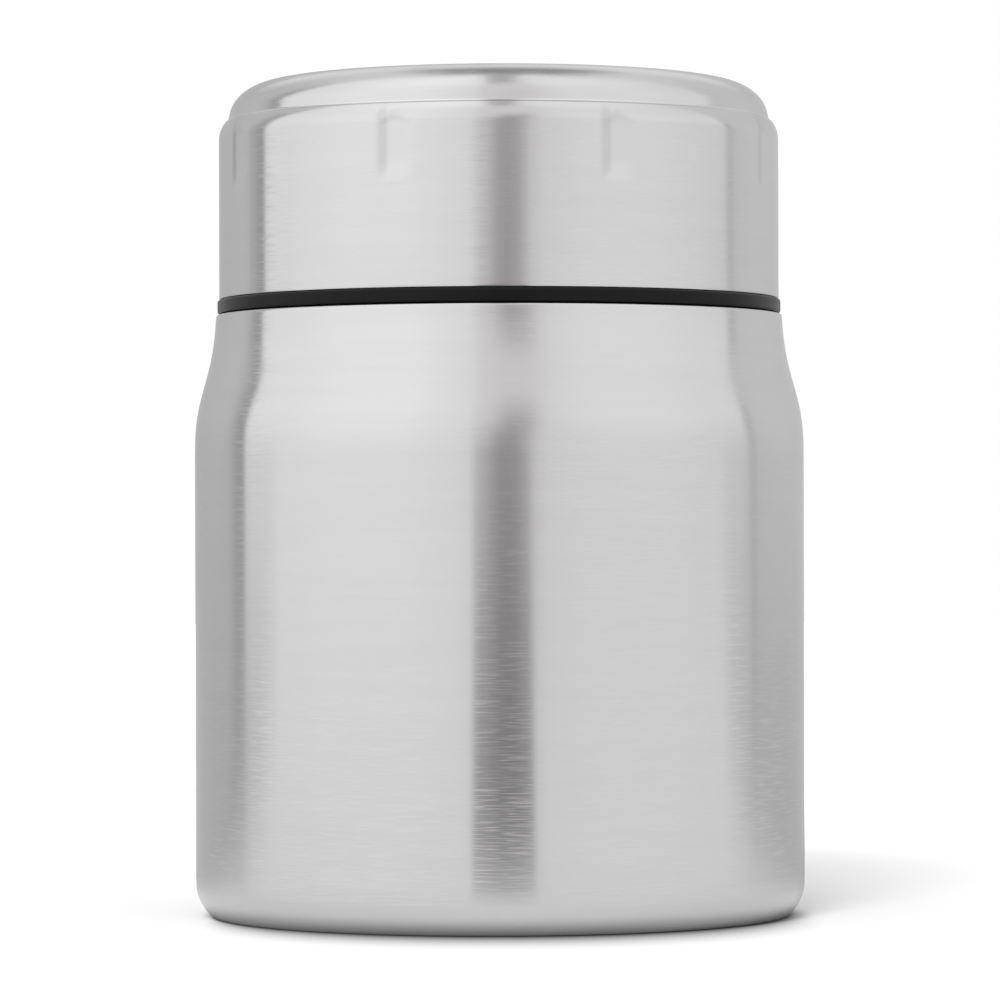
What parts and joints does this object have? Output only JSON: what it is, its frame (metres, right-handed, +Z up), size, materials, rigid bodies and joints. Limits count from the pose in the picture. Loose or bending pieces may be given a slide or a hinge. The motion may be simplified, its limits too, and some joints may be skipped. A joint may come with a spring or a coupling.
{
  "type": "insulated food jar",
  "caption": "Double-walled steel food jar with a drawn-in shoulder, a screw stopper with a vent button, and a screw-on fluted steel lid that doubles as a small bowl.",
  "frame": {"origin": "on the table, under the middle of the jar's base", "axes": "+Z up along the axis of the jar, its stopper and its lid; -Y faces the viewer"},
  "size_m": [0.1, 0.1, 0.1366],
  "materials": {
    "brushed_shell": "fine brushing that runs round the jar",
    "brushed_lid": "fine brushing that runs round the lid",
    "vessel_steel": "electropolished satin inside",
    "plain_steel": "mill finish",
    "base_steel": "spun brushing",
    "turned_steel": "bright turned",
    "solder_glass": "glossy dark sealing glass",
    "getter_metal": "sintered, dull grey",
    "copper_foil": "thin crinkled copper foil",
    "black_plastic": "satin moulded black polypropylene",
    "grey_plastic": "satin moulded dark grey polypropylene",
    "button_plastic": "smooth mid grey",
    "foam": "beaded insulating foam",
    "dark_silicone": "matt dark silicone",
    "clear_silicone": "milky silicone"
  },
  "bodies": {
    "jar": {"outer_shell": "brushed_shell", "inner_vessel": "vessel_steel", "base_pan": "plain_steel", "base_disc": "base_steel", "vacuum_seal": "solder_glass", "getter": "getter_metal", "getter_strap": "plain_steel", "radiation_foil": "copper_foil"},
    "lid_seal": {"lid_gasket": "dark_silicone"},
    "lid": {"lid_cup": "brushed_lid", "lid_liner": "black_plastic", "lid_insulation": "foam"},
    "stopper_seal": {"stopper_gasket": "clear_silicone"},
    "stopper": {"stopper_body": "black_plastic", "stopper_cap": "grey_plastic", "stopper_insulation": "foam"},
    "vent": {"vent_button": "button_plastic", "vent_stem": "turned_steel", "vent_spring": "turned_steel", "vent_valve": "clear_silicone", "vent_retainer": "turned_steel"}
  },
  "joints": [
    {"name": "lid_rise", "type": "slide", "parent": "jar", "child": "lid_seal", "axis": [0, 0, 1], "range_m": [0, 0.025]},
    {"name": "lid_turn", "type": "hinge", "parent": "lid_seal", "child": "lid", "pos_m": [0, 0, 0.1], "axis": [0, 0, 1], "range_deg": [0, 900]},
    {"name": "stopper_rise", "type": "slide", "parent": "jar", "child": "stopper_seal", "axis": [0, 0, 1], "range_m": [0, 0.007]},
    {"name": "stopper_turn", "type": "hinge", "parent": "stopper_seal", "child": "stopper", "pos_m": [0, 0, 0.1], "axis": [0, 0, 1], "range_deg": [0, 315]},
    {"name": "vent_press", "type": "slide", "parent": "stopper", "child": "vent", "axis": [0, 0, -1], "range_m": [0, 0.0025], "stiffness_N_per_m": 600, "springref_m": -0.003, "deforming": ["vent_spring"]}
  ],
  "couplings": [
    {"joint": "lid_rise", "follows": "lid_turn", "m_per_rad": 0.0015915},
    {"joint": "stopper_rise", "follows": "stopper_turn", "m_per_rad": 0.0012732}
  ]
}
